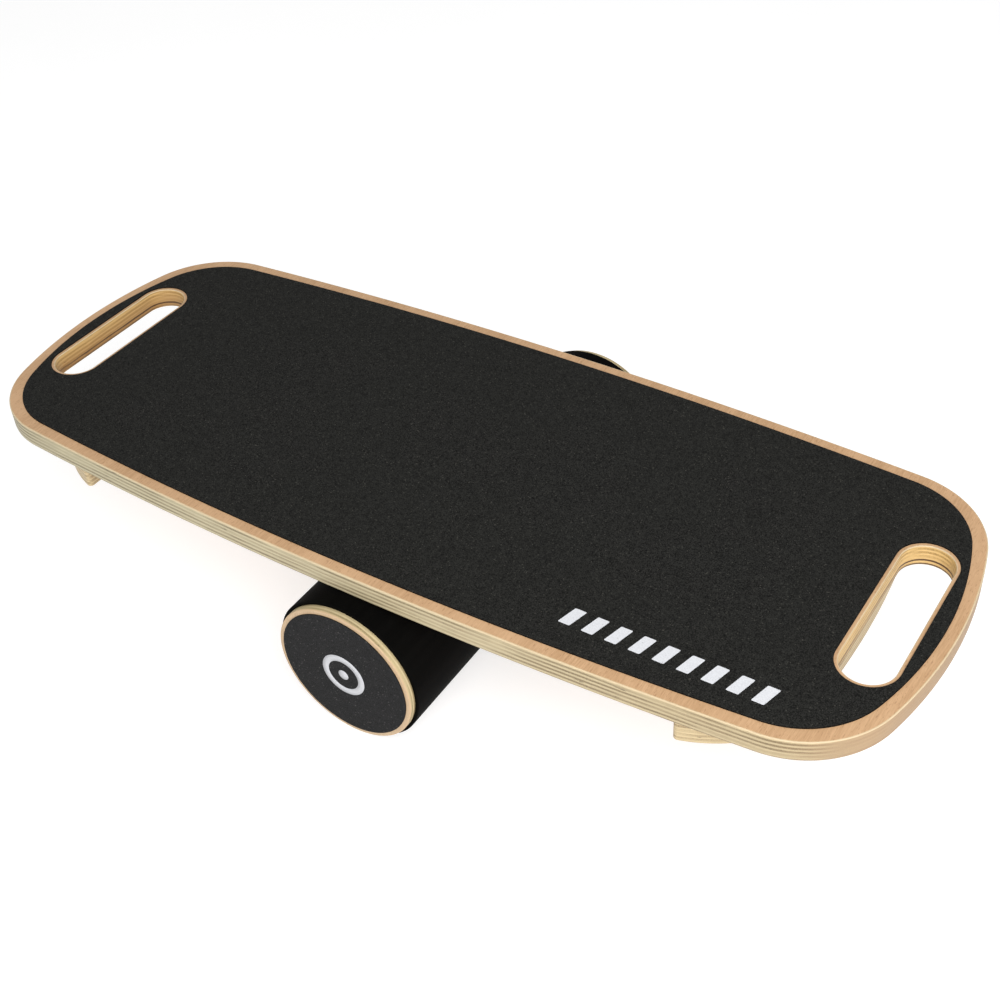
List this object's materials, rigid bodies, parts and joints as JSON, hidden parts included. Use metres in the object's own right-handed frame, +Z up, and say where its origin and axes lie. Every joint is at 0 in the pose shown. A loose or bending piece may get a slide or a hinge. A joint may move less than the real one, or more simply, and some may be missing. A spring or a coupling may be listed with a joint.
{
  "type": "balance board",
  "caption": "Plywood balance board with bowed sides, hand slots, a black grip sheet and stops underneath, resting across a loose grip-covered roller with plywood end discs.",
  "frame": {"origin": "on the floor, under the middle of the roller's length and the middle of the board's length", "axes": "+X along the board towards its right end, +Y along the roller towards its rear end, +Z up out of the standing face"},
  "size_m": [0.72, 0.336, 0.1291],
  "materials": {
    "deck_plywood": "clear-lacquered birch plywood, peach veneer face, pale plies on the edge",
    "stop_plywood": "plain plywood with visible plies",
    "disc_plywood": "plywood with a softened rim and visible plies",
    "plug_plywood": "raw plywood, hidden",
    "grip_sheet": "fine black grit, matte with tiny glints",
    "end_grip": "fine charcoal grit, matte",
    "sleeve_rubber": "near-black matte sleeve with a fine texture",
    "print_white": "matte white print",
    "core_plastic": "plain grey tube, hidden",
    "screw_steel": "zinc-plated"
  },
  "bodies": {
    "deck": {"deck_board": "deck_plywood", "grip_sheet": "grip_sheet", "deck_mark": "print_white", "stop_left": "stop_plywood", "stop_right": "stop_plywood", "stop_screws_left": "screw_steel", "stop_screws_right": "screw_steel"},
    "roller_core": {"core_tube": "core_plastic"},
    "roller": {"roller_sleeve": "sleeve_rubber", "end_disc_front": "disc_plywood", "end_plug_front": "plug_plywood", "disc_screws_front": "screw_steel", "end_grip_front": "end_grip", "end_mark_front": "print_white", "end_disc_rear": "disc_plywood", "end_plug_rear": "plug_plywood", "disc_screws_rear": "screw_steel", "end_grip_rear": "end_grip", "end_mark_rear": "print_white"}
  },
  "joints": [
    {"name": "roller_travel", "type": "slide", "parent": "deck", "child": "roller_core", "axis": [1, 0, 0], "range_m": [-0.2073, 0.1833]},
    {"name": "roller_spin", "type": "hinge", "parent": "roller_core", "child": "roller", "pos_m": [0.012, 0, 0.056], "axis": [0, 1, 0], "range_deg": [-190, 215]}
  ],
  "couplings": [
    {"joint": "roller_spin", "follows": "roller_travel", "rad_per_m": -17.857}
  ]
}
